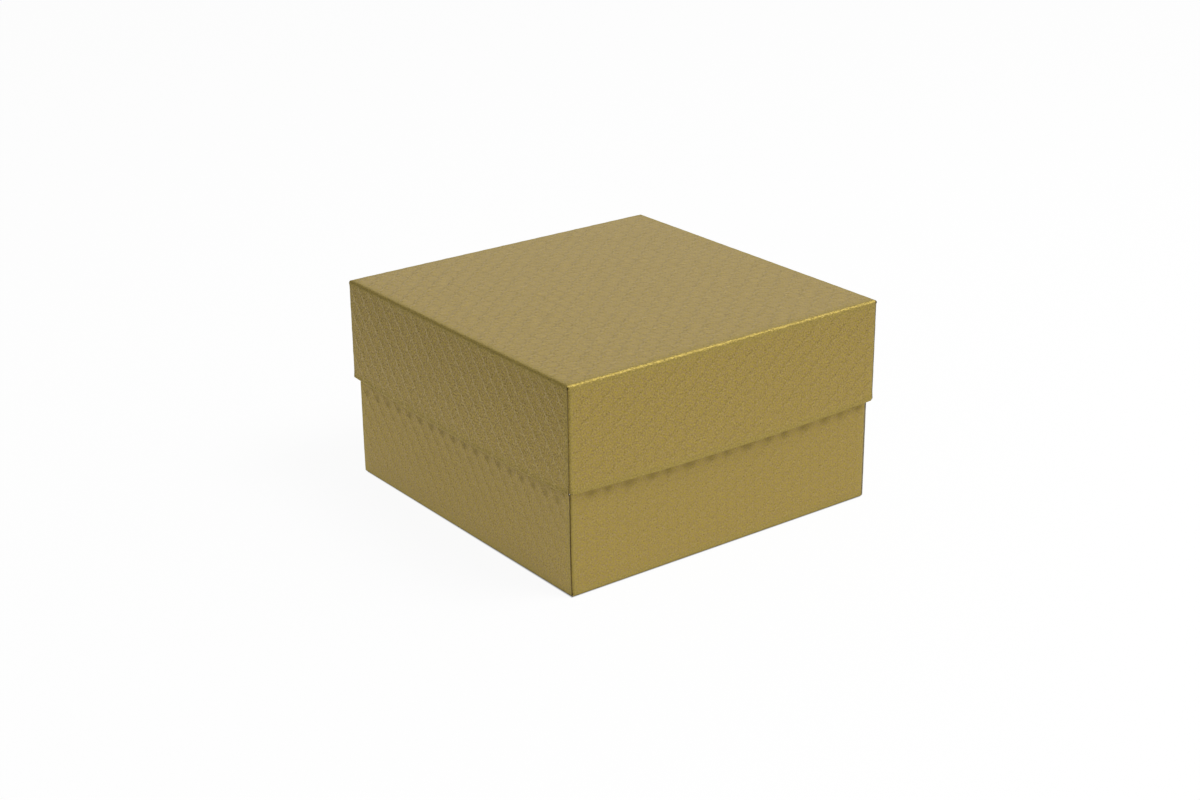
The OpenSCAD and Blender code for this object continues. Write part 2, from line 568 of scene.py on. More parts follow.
class SheetPiece:
    """A stretch of a tray's sheet, made as a closed piece of card.

    A subclass gives the grid, and for a point of it the place, the sheet coordinates and the
    share of the embossing that is left.
    """

    tray: Tray
    node: str
    slot: str
    stride: int = 2
    reverse_relief: float = 0.3
    normal_step: float = 0.01
    least_length: float = 1e-12

    def grid(self) -> Arrays:
        """The two surface parameters on a grid, rows along the first."""
        raise NotImplementedError

    def point(self, first: Array, second: Array, lift: Array) -> Array:
        """Place of a point of the piece, lifted off the plain printed face."""
        raise NotImplementedError

    def sheet(self, first: Array, second: Array) -> Arrays:
        """Sheet coordinates of a point of the piece."""
        raise NotImplementedError

    def strength(self, first: Array, second: Array) -> Array:
        """Share of the embossing that is left at a point of the piece."""
        raise NotImplementedError

    def dint(self, first: Array, second: Array) -> Array:
        """How far a point lies in a dint, from 0 to 1; most pieces have none."""
        return np.zeros_like(first)

    def pressed_flat(self, first: Array) -> Array:
        """Share of the relief that a rim takes out, from 0 to 1; a main panel has no rim."""
        return np.zeros_like(first)

    def rim_shade(self, first: Array, second: Array) -> Array:
        """Painted shade under the lid's rim, from 0 to 1; most pieces have none."""
        return np.zeros_like(first)

    def crease_and_shade(self, first: Array, second: Array) -> Array:
        """Up to 1 on a crease, where the foil is worn and takes a painted highlight, and down to -1 under
        the lid's rim, where shade is painted.
        """
        polished = (1 - self.strength(first, second)) / self.tray.iron_loss
        return np.clip(polished, 0.0, 1.0) - self.rim_shade(first, second)

    def skin(self, first: Array, second: Array, reverse: bool) -> Array:
        """One face of the card, with its embossing.

        Args:
            first: First surface parameter.
            second: Second surface parameter.
            reverse: Whether it is the unprinted face.

        Returns:
            Points of the printed face lifted by the relief and sunk a little at folds and
            dints, or of the reverse, a card's thickness further in and with a softer relief.
        """
        strength = self.strength(first, second)
        relief = self.tray.embossing.relief(*self.sheet(first, second), strength)
        relief = relief - self.tray.shoulder * (1 - strength)
        if self.tray.rim_dints_and_shade:
            relief = relief - self.tray.rim_dints_and_shade.depth * self.dint(first, second)
        relief = relief * (1 - self.pressed_flat(first))
        if reverse:
            relief = relief * self.reverse_relief - self.tray.card.thickness
        return self.point(first, second, relief)

    def normals(self, first: Array, second: Array, reverse: bool) -> Array:
        """Unit normals of one face, from central differences of its formula.

        The difference runs over the piece's edge onto the same sheet, so neighbouring pieces
        agree on their shared fold.

        Args:
            first: First surface parameter.
            second: Second surface parameter.
            reverse: Whether it is the unprinted face.

        Returns:
            The normals, of which those of the reverse point the other way.
        """
        step = self.normal_step
        down = self.skin(first + step, second, reverse) - self.skin(first - step, second, reverse)
        side = self.skin(first, second + step, reverse) - self.skin(first, second - step, reverse)
        normal = np.cross(down, side)
        length = np.linalg.norm(normal, axis=-1, keepdims=True)
        normal = normal / np.maximum(length, self.least_length)
        return -normal if reverse else normal

    def build(self) -> bpy.types.Object:
        """Makes the piece, and puts it on its body in place of the node.

        Returns:
            The piece, which has no finish yet.
        """
        first, second = self.grid()
        nil = np.zeros_like(first)
        outwards = self.point(first, second, nil + 1.0) - self.point(first, second, nil)
        sign = 1.0
        if (self.normals(first, second, False) * outwards).sum() <= 0:
            first, second, sign = first[:, ::-1], second[:, ::-1], -1.0
        faces = []
        for reverse, stride in ((False, 1), (True, self.stride)):
            at = first[::stride, ::stride], second[::stride, ::stride]
            sheet = np.stack([*self.sheet(*at), self.crease_and_shade(*at)], axis=-1)
            faces.append(Face(self.skin(*at, reverse), self.normals(*at, reverse) * sign, sheet))
        mesh = card_mesh(self.node + "_card", *faces, self.stride)
        piece = bpy.data.objects.new(mesh.name, mesh)
        bpy.context.scene.collection.objects.link(piece)
        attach(piece, self.tray.body)
        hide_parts(self.node)
        logger.info("%s: %d faces", piece.name, len(mesh.polygons))
        return piece


def card_mesh(name: str, printed: Face, reverse: Face, stride: int) -> bpy.types.Mesh:
    """Closes a fine printed face and a coarser reverse into one mesh, with cut edges between.

    The cut edge joins each step of the reverse's outline to as many steps of the printed
    face's outline as the stride says, by a fan of triangles.

    Args:
        name: Name of the mesh.
        printed: The printed face, in millimetres.
        reverse: The unprinted face, with every stride-th row and column of the printed one.
        stride: Steps of the printed face to one of the reverse.

    Returns:
        The mesh, in metres.
    """
    fine = printed.numbered(0)
    rough = reverse.numbered(fine.size)
    front_quads = grid_quads(fine)
    back_quads = grid_quads(rough)[:, ::-1]
    edge = edge_triangles(outline(fine), outline(rough), stride)
    loops = np.concatenate([front_quads.ravel(), back_quads.ravel(), edge.ravel()])
    quads = len(front_quads) + len(back_quads)
    starts = np.concatenate([np.arange(quads) * 4, quads * 4 + np.arange(len(edge)) * 3])
    skins = np.repeat(
        [skin.value for skin in Skin], [len(front_quads), len(back_quads), len(edge)]
    )
    points, normals, sheet = (
        np.concatenate([front.reshape(-1, 3), back.reshape(-1, 3)])
        for front, back in zip(printed, reverse)
    )

    mesh = bpy.data.meshes.new(name)
    mesh.vertices.add(len(points))
    mesh.vertices.foreach_set("co", (points * MM).astype(np.float32).ravel())
    mesh.loops.add(len(loops))
    mesh.loops.foreach_set("vertex_index", loops.astype(np.int32))
    mesh.polygons.add(len(starts))
    mesh.polygons.foreach_set("loop_start", starts.astype(np.int32))
    mesh.polygons.foreach_set("material_index", skins.astype(np.int32))
    mesh.polygons.foreach_set("use_smooth", skins != Skin.CUT.value)
    mesh.update(calc_edges=True)

    attribute = mesh.attributes.new(SHEET_ATTRIBUTE, "FLOAT_VECTOR", "POINT")
    attribute.data.foreach_set("vector", sheet.astype(np.float32).ravel())
    corner_normals = normals[loops]
    corner_normals[quads * 4:] = 0.0
    mesh.normals_split_custom_set(corner_normals.tolist())
    mesh.validate()
    return mesh


def grid_quads(index: Array) -> Array:
    """Quads of a grid of vertex numbers, turned so that rows cross columns points outwards."""
    corners = [index[:-1, :-1], index[1:, :-1], index[1:, 1:], index[:-1, 1:]]
    return np.stack(corners, axis=-1).reshape(-1, 4)


def outline(index: Array) -> Array:
    """Vertex numbers round the outline of a grid, first row forwards, each once."""
    return np.concatenate([index[0, :-1], index[:-1, -1], index[-1, :0:-1], index[:0:-1, 0]])


def edge_triangles(fine: Array, rough: Array, stride: int) -> Array:
    """Triangles between a fine outline and a rough one.

    Args:
        fine: Closed outline of vertex numbers.
        rough: Closed outline with one vertex to each stride of the fine one.
        stride: Steps of the fine outline to one of the rough one.

    Returns:
        Rows of three vertex numbers.
    """
    steps = fine.reshape(-1, stride)
    steps = np.column_stack([steps, np.roll(steps[:, 0], -1)])
    here = rough
    there = np.roll(rough, -1)
    middle = (stride + 1) // 2
    fans = [
        np.column_stack([steps[:, i], steps[:, i + 1], here if i < middle else there])
        for i in range(stride)
    ]
    fans.append(np.column_stack([steps[:, middle], there, here]))
    return np.concatenate(fans)


def rows_between(ways: Array, low: Array, high: Array, share: Array) -> Arrays:
    """Grid whose rows run between their own two ends.

    Args:
        ways: Distance along the sheet of each row.
        low: Left end of each row.
        high: Right end of each row.
        share: Places of the columns, from 0 at the left end to 1 at the right.

    Returns:
        Way and run arrays.
    """
    runs = low[:, None] + (high - low)[:, None] * share[None, :]
    return np.broadcast_to(ways[:, None], runs.shape).copy(), runs


@dataclass
class MainPanel(SheetPiece):
    """The square panel between the four folds of a tray."""

    tray: Tray
    step: float
    slot: str = "gold_card"

    @property
    def node(self) -> str:
        """Name of the CAD node it stands for."""
        return self.tray.main_panel

    def grid(self) -> Arrays:
        """A square grid over the flat panel."""
        places = stations(self.stride, (-self.tray.flat_half, self.tray.flat_half, self.step))
        return tuple(np.meshgrid(places, places, indexing="ij"))

    def point(self, first: Array, second: Array, lift: Array) -> Array:
        """Place of a point of the panel."""
        return self.tray.place(first, second, -lift)

    def sheet(self, first: Array, second: Array) -> Arrays:
        """Sheet coordinates of a point of the panel."""
        return self.tray.face_view(first, second)

    def strength(self, first: Array, second: Array) -> Array:
        """Share of the embossing that is left, less towards all four folds."""
        across, along = (self.tray.ironed(np.abs(x) - self.tray.flat_half) for x in (first, second))
        return across * along


@dataclass
class WallPiece(SheetPiece):
    """Any stretch of card between the fold of the main panel and a free edge."""

    tray: Tray
    side: Side
    step: float
    slot: str = "gold_card"

    part = "outer_wall"

    @property
    def node(self) -> str:
        """Name of the CAD node it stands for."""
        return f"{self.tray.body}_{self.side.name.lower()}_{self.part}"

    def point(self, first: Array, second: Array, lift: Array) -> Array:
        """Place of a point of the wall."""
        return self.tray.wall_point(self.side, first, second, lift)

    def sheet(self, first: Array, second: Array) -> Arrays:
        """Sheet coordinates of a point of the wall."""
        return self.tray.sheet_at(self.side, first, second)

    def strength(self, first: Array, second: Array) -> Array:
        """Share of the embossing that is left, less towards the fold, the rim and the corners.

        Args:
            first: Distance along the sheet.
            second: Distance along the wall from its middle.

        Returns:
            The product of the shares that the fold, the rim and the corner each leave.
        """
        tray = self.tray
        left = 1.0
        flat_corner = tray.half - tray.fold_length / 2
        past_rim = first - tray.rim_middle(self.side) + tray.fold_length / 2
        for way in (first, past_rim, np.abs(second) - flat_corner):
            left = left * tray.ironed(way)
        return left

    def pressed_flat(self, first: Array) -> Array:
        """Share of the relief that the rim takes out: hem loss times exp(-(distance / reach)^2)."""
        middle = self.tray.rim_middle(self.side)
        return self.tray.hem_loss * bell(first - middle, self.tray.hem_reach)


@dataclass
class OuterWall(WallPiece):
    """Fold, flat wall and rim of one side."""

    stride: int = 3
    fold_step: float = 0.125
    rim_step: float = 0.11
    end_zone: float = 2.4
    end_zone_step: float = 0.13
    notch: float = 0.3
    corner_round: float = 0.25

    def grid(self) -> Arrays:
        """Rows from the fold to the rim, with closer columns at both ends.

        Returns:
            Way and run arrays.
        """
        tray = self.tray
        wall_start = tray.fold_length
        wall_end = wall_start + tray.wall_length(self.side)
        flare_end = wall_start + tray.root_flare
        notch_start = wall_end - 2 * self.notch
        ways = stations(
            self.stride,
            (0.0, wall_start, self.fold_step),
            (wall_start, flare_end, self.end_zone_step),
            (flare_end, notch_start, self.step),
            (notch_start, wall_end, self.fold_step),
            (wall_end, tray.rim_end(self.side), self.rim_step),
        )
        low, high = self.ends(ways)
        width = 2 * tray.half
        zone = self.end_zone
        places = stations(
            self.stride,
            (0.0, zone, self.end_zone_step),
            (zone, width - zone, self.step),
            (width - zone, width, self.end_zone_step),
        )
        return rows_between(ways, low, high, places / width)

    def dint(self, first: Array, second: Array) -> Array:
        """How far a point lies in a dint of the rim, which only side walls have.

        Args:
            first: Distance along the sheet.
            second: Distance along the wall from its middle.

        Returns:
            The share, from 0 to 1.
        """
        rim_dints_and_shade = self.tray.rim_dints_and_shade
        if self.side.is_end or not rim_dints_and_shade:
            return np.zeros_like(first)
        return rim_dints_and_shade.dints(*self.sheet(first, second), self.below_rim(first, second))

    def rim_shade(self, first: Array, second: Array) -> Array:
        """Painted shade under the lid's rim: in the blots or over the dints, and along a line.

        Args:
            first: Distance along the sheet.
            second: Distance along the wall from its middle.

        Returns:
            The share, from 0 to 1.
        """
        rim_dints_and_shade = self.tray.rim_dints_and_shade
        if not rim_dints_and_shade:
            return np.zeros_like(first)
        below = self.below_rim(first, second)
        # End walls get blots and a line of painted shade; side walls get painted shade over the dints and
        # along the line.
        if self.side.is_end:
            return rim_dints_and_shade.shade_blots(self.sheet(first, second)[0], below)
        return np.maximum(rim_dints_and_shade.dint_shade_share * self.dint(first, second), rim_dints_and_shade.line(below))

    def below_rim(self, first: Array, second: Array) -> Array:
        """Way down from the lid's rim to a point of the flat wall."""
        height = first - self.tray.fold_length + self.tray.card.fold_radius
        return self.tray.rim_dints_and_shade.below(height, second)

    def ends(self, ways: Array) -> Arrays:
        """Left and right end of each row.

        On the fold the ends follow the mitre, which is the depth short of the corner, and
        round off from it towards the wall by the square of the fold's progress. A side wall
        rounds off as far as its two cut ends, and drifts a little to one side. An end wall
        widens again to the length of its upright folds, and is notched down to the rim's own
        length above the flaps.

        Args:
            ways: Distance along the sheet of each row.

        Returns:
            Run of the left end and of the right end of each row.
        """
        tray = self.tray
        depth, _ = tray.profile(self.side, np.minimum(ways, tray.fold_length), ways * 0)
        progress = (1 - depth / tray.card.fold_radius) ** 2
        rise = (ways - tray.fold_length) / tray.root_flare
        if not self.side.is_end:
            ends = tray.half - depth - tray.end_cut * progress
            shift = tray.drift * smooth(rise)
            return shift - ends, shift + ends
        mitre = tray.half - depth - self.corner_round * progress
        start = tray.half - tray.card.corner_run
        full = mitre + smooth(rise) * (start + tray.card.corner_arc - mitre)
        flap_end = tray.fold_length + tray.flap_top - tray.card.fold_radius
        closing = smooth((ways - flap_end) / self.notch)
        high = full + closing * (start - full)
        return -high, high


@dataclass
class InnerWall(WallPiece):
    """The stretch of card that comes down inside from the rim."""

    slot: str = "gold_lining"

    part = "inner_wall"

    def grid(self) -> Arrays:
        """Rows from the rim to the free edge, with both corners of the free edge cut off.

        Returns:
            Way and run arrays.
        """
        tray = self.tray
        start = tray.rim_end(self.side)
        end = start + tray.wall_length(self.side)
        taper = tray.inner_taper
        ways = stations(self.stride, (start, end - taper, self.step), (end - taper, end, self.step))
        half = tray.half - tray.card.corner_radius - tray.side_play
        if self.side.is_end:
            half = tray.half - tray.card.corner_run - tray.end_play
        high = half - np.maximum(ways - (end - taper), 0.0)
        share = stations(self.stride, (0.0, 1.0, self.step / (2 * half)))
        return rows_between(ways, -high, high, share)


@dataclass
class CornerFlap(WallPiece):
    """The end of an end wall, turned back and held between the two layers of a side wall."""

    hand: int = 1

    @property
    def node(self) -> str:
        """Name of the CAD node it stands for."""
        rightwards = (self.hand > 0) == (self.side is Side.FRONT)
        return f"{self.tray.body}_{self.side.name.lower()}_{'right' if rightwards else 'left'}_corner_flap"

    def grid(self) -> Arrays:
        """Columns from the upright fold to the free end, which is narrower.

        Returns:
            Way and run arrays.
        """
        tray = self.tray
        root = tray.half - tray.card.corner_run + tray.card.corner_arc
        reach = tray.flap_reach - tray.card.corner_radius
        share = stations(self.stride, (0.0, 1.0, self.step / reach))
        low = tray.fold_length + tray.flap_fold_play + share * tray.flap_taper
        high = tray.fold_length - tray.card.fold_radius + tray.flap_top - share * tray.flap_taper
        rise = stations(self.stride, (0.0, 1.0, self.step / tray.tall))
        ways = low[None, :] + rise[:, None] * (high - low)[None, :]
        runs = self.hand * (root + share * reach)
        return ways, np.broadcast_to(runs[None, :], ways.shape).copy()


class Shader:
    """A short hand for building one node material."""

    noise_roughness: float = 0.55
    mix_inputs: tuple[int, int, int] = (0, 6, 7)
    mix_output: int = 2

    def __init__(self, name: str) -> None:
        """Starts a material with an empty tree.

        Args:
            name: Name of the material.
        """
        self.material = bpy.data.materials.new(name)
        self.material.use_nodes = True
        self.tree = self.material.node_tree
        self.tree.nodes.clear()

    def add(self, kind: str, inputs: dict | None = None, **settings: object) -> bpy.types.Node:
        """Adds a node.

        Args:
            kind: Class name of the node.
            inputs: Values of input sockets, or output sockets to link to them, by name or number.
            **settings: Properties of the node.

        Returns:
            The node.
        """
        node = self.tree.nodes.new(kind)
        for key, value in settings.items():
            setattr(node, key, value)
        for key, value in (inputs or {}).items():
            if isinstance(value, Socket):
                self.tree.links.new(value, node.inputs[key])
            else:
                node.inputs[key].default_value = value
        return node

    def maths(self, operation: str, *values: object) -> Socket:
        """Adds a Math node on numbers or sockets, and gives its output."""
        node = self.add("ShaderNodeMath", dict(enumerate(values)), operation=operation)
        return node.outputs[0]

    def product(self, *factors: object) -> Socket:
        """Adds the nodes that multiply numbers or sockets, and gives the product."""
        return reduce(partial(self.maths, "MULTIPLY"), factors)

    def distance(self, x: Socket, y: Socket) -> Socket:
        """Adds the nodes for the square root of x^2 + y^2, and gives it."""
        return self.maths("SQRT", self.maths("MULTIPLY_ADD", x, x, self.product(y, y)))

    def bell(self, value: Socket, centre: float, width: float) -> Socket:
        """Adds the nodes for exp(-((value - centre) / width)^2), and gives it."""
        way = self.maths("DIVIDE", self.maths("SUBTRACT", value, centre), width)
        return self.maths("EXPONENT", self.product(way, way, -1.0))

    def wave(self, angle: Socket) -> Socket:
        """Adds the nodes for (1 + cos(angle)) / 2, and gives it."""
        return self.maths("MULTIPLY_ADD", self.maths("COSINE", angle), 0.5, 0.5)

    def split(self, vector: Socket) -> list[Socket]:
        """Adds a node that splits a vector, and gives its three outputs."""
        return list(self.add("ShaderNodeSeparateXYZ", {"Vector": vector}).outputs)

    def reach(self, vector: Socket) -> Socket:
        """Adds the nodes for the larger of |x| and |y| of a vector, and gives it."""
        x, y = (self.maths("ABSOLUTE", part) for part in self.split(vector)[:2])
        return self.maths("MAXIMUM", x, y)

    def place(self) -> Socket:
        """Adds a node that reads the place on the object, and gives it."""
        return self.add("ShaderNodeTexCoord").outputs["Object"]

    def sheet_crease_and_shade(self) -> tuple[Socket, Socket]:
        """Adds the nodes that read the flat sheet's coordinates, and the creases and painted shade.

        Returns:
            Sockets of the coordinates, as one vector, and of the creases and painted shade.
        """
        read = self.add("ShaderNodeAttribute", attribute_name=SHEET_ATTRIBUTE)
        x, y, crease_and_shade = self.split(read.outputs["Vector"])
        return self.add("ShaderNodeCombineXYZ", {"X": x, "Y": y}).outputs["Vector"], crease_and_shade

    def noise(self, vector: Socket, scale: float, detail: float = 2.0) -> Socket:
        """Adds a noise texture, and gives its value."""
        inputs = {"Vector": vector, "Scale": scale, "Detail": detail, "Roughness": self.noise_roughness}
        return self.add("ShaderNodeTexNoise", inputs).outputs["Fac"]

    def mapped(self, vector: Socket, scale: Triple, turn: float, kind: str = "POINT") -> Socket:
        """Adds a Mapping node of a kind that scales and turns a vector, and gives its output."""
        inputs = {"Vector": vector, "Scale": scale, "Rotation": (0.0, 0.0, turn)}
        return self.add("ShaderNodeMapping", inputs, vector_type=kind).outputs["Vector"]

    def ranged(self, value: Socket, source: Pair = NOISE_SPAN, target: Pair = (0.0, 1.0)) -> Socket:
        """Adds a node that carries one range over to another, and gives its output."""
        return self.add("ShaderNodeMapRange", dict(enumerate((value, *source, *target)))).outputs[0]

    def blended(self, share: Socket, low: Socket | Triple, high: Triple) -> Socket:
        """Adds a mix of two colours.

        Args:
            share: Socket of the second colour's share.
            low: The first colour, or the socket of one.
            high: The second colour.

        Returns:
            Socket of the mixed colour.
        """
        start = low if isinstance(low, Socket) else (*low, 1.0)
        inputs = dict(zip(self.mix_inputs, (share, start, (*high, 1.0))))
        return self.add("ShaderNodeMix", inputs, data_type="RGBA").outputs[self.mix_output]

    def scaled(self, colour: Socket, factor: Socket) -> Socket:
        """Multiplies a colour by a number, and gives the output."""
        node = self.add("ShaderNodeVectorMath", {0: colour, "Scale": factor}, operation="SCALE")
        return node.outputs[0]

    def finish(self, surface: bpy.types.Node) -> bpy.types.Material:
        """Links a surface shader to the output, and gives the material."""
        self.add("ShaderNodeOutputMaterial", {"Surface": surface.outputs[0]})
        return self.material

    def coated(self, inputs: dict, height: Socket | None = None, tall: float = 0.0) -> bpy.types.Material:
        """Finishes the material with the surface shader of a piece of card.

        Args:
            inputs: Inputs of the shader.
            height: Socket of the fine relief, where it has one.
            tall: What a height of 1 stands for, in millimetres.

        Returns:
            The material.
        """
        if height is not None:
            relief = {"Height": height, "Strength": 1.0, "Distance": tall * MM}
            inputs = inputs | {"Normal": self.add("ShaderNodeBump", relief).outputs["Normal"]}
        return self.finish(self.add("ShaderNodeBsdfPrincipled", inputs))


@dataclass(frozen=True)
class GoldFoil:
    """Satin gold foil: fine grain, streaks on a top, worn creases; painted highlights on the raised lines
    and creases, painted shade in the dots and under the lid's rim.
    """

    embossing: Embossing
    name: str = "gold_foil"
    yellow: Triple = (0.385, 0.288, 0.052)
    bronze: Triple = (0.352, 0.247, 0.104)
    # Next four colours: painted highlight on the raised lines; crease colour, partly wear and partly
    # painted highlight; painted shade in the dots round the scales; painted shade under the lid's rim.
    line_highlight: Triple = (0.520, 0.430, 0.230)
    worn_highlight: Triple = (0.470, 0.372, 0.100)
    groove_shade: Triple = (0.190, 0.130, 0.035)
    rim_shade_tone: Triple = (0.120, 0.088, 0.024)
    edge_tint: Triple = (1.0, 0.98, 0.95)
    metallic: float = 0.65
    bared: float = 0.30
    roughness: float = 0.32
    crease_roughness: float = 0.24
    roughness_drift: float = 0.05
    grain_per_mm: float = 2.4
    patch_span: Pair = (0.38, 0.62)
    hue_per_mm: float = 1.9
    hue_turn: float = 0.5
    hue_span: Pair = (0.36, 0.64)
    shade_swing: float = 1.0
    streaks_per_mm: float = 2.6
    streak_stretch: float = 7.0
    streak_turn: float = -0.672
    streak_edge: Pair = (48.2, 49.4)
    streak_share: float = 0.0
    # Painted highlight on the raised lines, with more of it and a stronger painted grain contrast on the
    # left walls.
    line_highlight_share: float = 0.12
    left_edge: Pair = (-51.0, -48.5)
    left_line_highlight: float = 0.16
    left_shade: float = 0.85
    line_spread: float = 1.15
    cross_share: float = 0.8
    # Shares of the crease colour (wear and painted highlight), and of the painted shade in the dots and
    # under the lid's rim.
    worn_highlight_share: float = 0.50
    groove_shade_share: float = 0.22
    rim_shade_strength: float = 0.80
    dots_round: float = 14.0
    dots_width: float = 0.30
    bump_height: float = 0.045
    hatch_per_line: float = 5.0
    hatch_height: float = 0.55
    dot_depth: float = 0.9
    line_height: float = 0.2
    crumple_per_mm: float = 1.6
    crumple_detail: float = 1.0
    crumple_height: float = 3.0

    def build(self) -> bpy.types.Material:
        """Makes the material.

        Grain is noise of about half a millimetre on the flat sheet. The raised lines, and the
        dots round the scales, are found by the same formula as in the embossing. Each coat of
        colour is laid over those before it: a painted highlight on the raised lines, stronger on
        the left walls, painted shade on the dots, a crease colour that is partly wear and partly
        painted highlight, and painted shade under the lid's rim. Each form adds to the height.

        Returns:
            The material.
        """
        s = Shader(self.name)
        sheet, crease_and_shade = s.sheet_crease_and_shade()
        line, dots, hatch = self.lattice(s, sheet)
        # Mask of the left walls, which get more painted highlight and a stronger painted contrast.
        left = s.ranged(s.split(sheet)[0], self.left_edge, (1.0, 0.0))
        grain = self.streaked(s, sheet, s.noise(sheet, self.grain_per_mm))
        patchy = s.ranged(grain, self.patch_span)
        # Creases: a paler colour, partly wear and partly painted highlight, with more metal and a rougher
        # finish.
        crease = s.maths("MAXIMUM", crease_and_shade, 0.0)
        crumple = s.product(crease, s.noise(sheet, self.crumple_per_mm, self.crumple_detail))

        hue = s.noise(s.mapped(sheet, (1.0, 1.0, 1.0), self.hue_turn), self.hue_per_mm)
        colour = s.blended(s.ranged(hue, self.hue_span), self.yellow, self.bronze)
        # Share of the painted highlight on the raised lines, more on the left walls.
        line_highlight = s.maths("MULTIPLY_ADD", left, self.left_line_highlight, self.line_highlight_share)
        # Coats laid on: painted highlight on the lines, painted shade on the dots, creases (wear and
        # painted highlight), painted shade under the lid's rim.
        for share, coat in (
            (s.product(line, patchy, line_highlight), self.line_highlight),
            (s.product(dots, self.groove_shade_share), self.groove_shade),
            (s.product(crease, self.worn_highlight_share), self.worn_highlight),
            # Painted shade under the lid's rim.
            (s.product(s.maths("MINIMUM", crease_and_shade, 0.0), -self.rim_shade_strength), self.rim_shade_tone),
        ):
            colour = s.blended(share, colour, coat)
        # Grain brightens and darkens the colour, with a stronger painted contrast on the left walls.
        shade = s.maths("MULTIPLY_ADD", left, self.left_shade, 1.0)
        swing = s.product(s.maths("SUBTRACT", grain, 0.5), self.shade_swing, shade)
        colour = s.scaled(colour, s.maths("ADD", swing, 1.0))

        height = grain
        for form, share in (
            (dots, -self.dot_depth),
            (line, self.line_height),
            (s.product(hatch, patchy), self.hatch_height),
            (crumple, self.crumple_height),
        ):
            height = s.maths("MULTIPLY_ADD", form, share, height)

        around = (self.roughness - self.roughness_drift, self.roughness + self.roughness_drift)
        rough = s.ranged(grain, NOISE_SPAN, around)
        inputs = {
            "Base Color": colour,
            "Metallic": s.maths("MULTIPLY_ADD", crease, self.bared, self.metallic),
            "Roughness": s.maths("MULTIPLY_ADD", crease, self.crease_roughness, rough),
            "Specular IOR Level": 0.0,
            "Specular Tint": (*self.edge_tint, 1.0),
        }
        return s.coated(inputs, height, self.bump_height)

    def streaked(self, s: Shader, sheet: Socket, grain: Socket) -> Socket:
        """Draws the grain of the main panel out into short streaks that all run one way.

        Args:
            s: Shader to add to.
            sheet: Socket with the sheet coordinates.
            grain: Socket with the even grain of the walls.

        Returns:
            Socket of the grain, from 0 to 1.
        """
        inside = s.ranged(s.reach(sheet), self.streak_edge, (self.streak_share, 0.0))
        drawn = s.mapped(sheet, (self.streak_stretch, 1.0, 1.0), self.streak_turn, "TEXTURE")
        streaks = s.noise(drawn, self.streaks_per_mm)
        return s.maths("MULTIPLY_ADD", inside, s.maths("SUBTRACT", streaks, grain), grain)

    def lattice(self, s: Shader, sheet: Socket) -> tuple[Socket, Socket, Socket]:
        """Adds the nodes that find the raised lines and the dots round each scale.

        With u and v the distances, in pitches, from the middle of a diamond along both
        families, a line is exp(-(way / width)^2), and the dots are the round groove's
        exp(-((radius - R) / width)^2) times a wave of the angle.

        Args:
            s: Shader to add to.
            sheet: Socket with the sheet coordinates.

        Returns:
            Sockets of the lines, the dots and a fine hatch along the cross family, from 0 to 1.
        """
        emboss = self.embossing
        across, along, _ = s.split(sheet)
        across = s.maths("DIVIDE", across, emboss.pitch_p)
        along = s.maths("DIVIDE", along, emboss.pitch_q)
        cross = s.maths("ADD", across, along)
        u = s.maths("WRAP", cross, 0.5, -0.5)
        v = s.maths("WRAP", s.maths("SUBTRACT", across, along), 0.5, -0.5)
        widths = (self.line_spread * emboss.ridge_width, emboss.cross_width)
        line, crossing = (
            s.bell(s.maths("ABSOLUTE", way), 0.5, width / emboss.line_spacing)
            for way, width in zip((v, u), widths)
        )
        line = s.maths("MAXIMUM", line, s.product(crossing, self.cross_share))
        x = s.product(s.maths("ADD", u, v), emboss.pitch_p / 2)
        y = s.product(s.maths("SUBTRACT", u, v), emboss.pitch_q / 2)
        ring = s.bell(s.distance(x, y), emboss.scale_radius, self.dots_width)
        turn = s.product(s.maths("ARCTAN2", y, x), self.dots_round)
        hatch = s.product(cross, CYCLE * self.hatch_per_line)
        return line, s.product(ring, s.wave(turn)), s.wave(hatch)


@dataclass(frozen=True)
class UncoatedReverse:
    """Ivory, unprinted reverse of the card, with short fibres."""

    name: str = "ivory_reverse"
    light: Triple = (0.80, 0.75, 0.62)
    dark: Triple = (0.70, 0.64, 0.50)
    roughness: float = 0.8
    fibre_per_mm: float = 1.6
    fibre_stretch: Triple = (0.35, 1.0, 1.0)
    fibre_turn: float = 0.3
    fibre_detail: float = 4.0
    bump_height: float = 0.02

    def build(self) -> bpy.types.Material:
        """Makes the material: noise drawn out along the sheet gives fibres in colour and relief.

        Returns:
            The material.
        """
        s = Shader(self.name)
        drawn = s.mapped(s.sheet_crease_and_shade()[0], self.fibre_stretch, self.fibre_turn)
        fibre = s.noise(drawn, self.fibre_per_mm, self.fibre_detail)
        colour = s.blended(s.ranged(fibre), self.light, self.dark)
        return s.coated({"Base Color": colour, "Roughness": self.roughness}, fibre, self.bump_height)


@dataclass(frozen=True)
class CutEdge:
    """Die-cut edge of the card: a brown so dark that it also stands for the shade in the narrow slits
    where it shows, with fine noise for the layers of the board.
    """

    name: str = "cut_edge"
    light: Triple = (0.10, 0.065, 0.025)
    dark: Triple = (0.045, 0.028, 0.012)
    roughness: float = 0.9
    fibre_per_mm: float = 9.0
    fibre_detail: float = 3.0

    def build(self) -> bpy.types.Material:
        """Makes the material: fine noise between two browns.

        Returns:
            The material.
        """
        s = Shader(self.name)
        fibre = s.noise(s.place(), self.fibre_per_mm / MM, self.fibre_detail)
        colour = s.blended(s.ranged(fibre), self.light, self.dark)
        return s.coated({"Base Color": colour, "Roughness": self.roughness})


